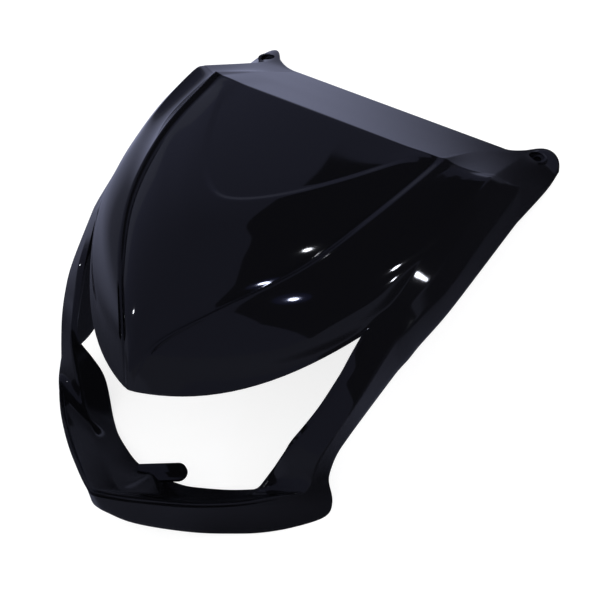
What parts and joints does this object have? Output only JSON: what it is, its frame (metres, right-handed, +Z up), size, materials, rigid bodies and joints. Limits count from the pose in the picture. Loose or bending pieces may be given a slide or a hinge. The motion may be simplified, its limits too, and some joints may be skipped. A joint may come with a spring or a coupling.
{
  "type": "headlight cowl",
  "caption": "One-piece gloss black moulded cowl: a domed shield over an open lamp window, side arms, a pointed chin bar and two screw ears.",
  "frame": {"origin": "on the bench, in the mirror plane, midway between the two ear screws, at the foot of their bosses", "axes": "+Z up out of the cowl's face, +Y from the chin to the ears, X across; the plane X = 0 is the mirror plane"},
  "size_m": [0.2494, 0.364, 0.1544],
  "materials": {
    "gloss_black": "high gloss, moulded-in black"
  },
  "bodies": {
    "root": {"cowl": "gloss_black"}
  },
  "joints": []
}
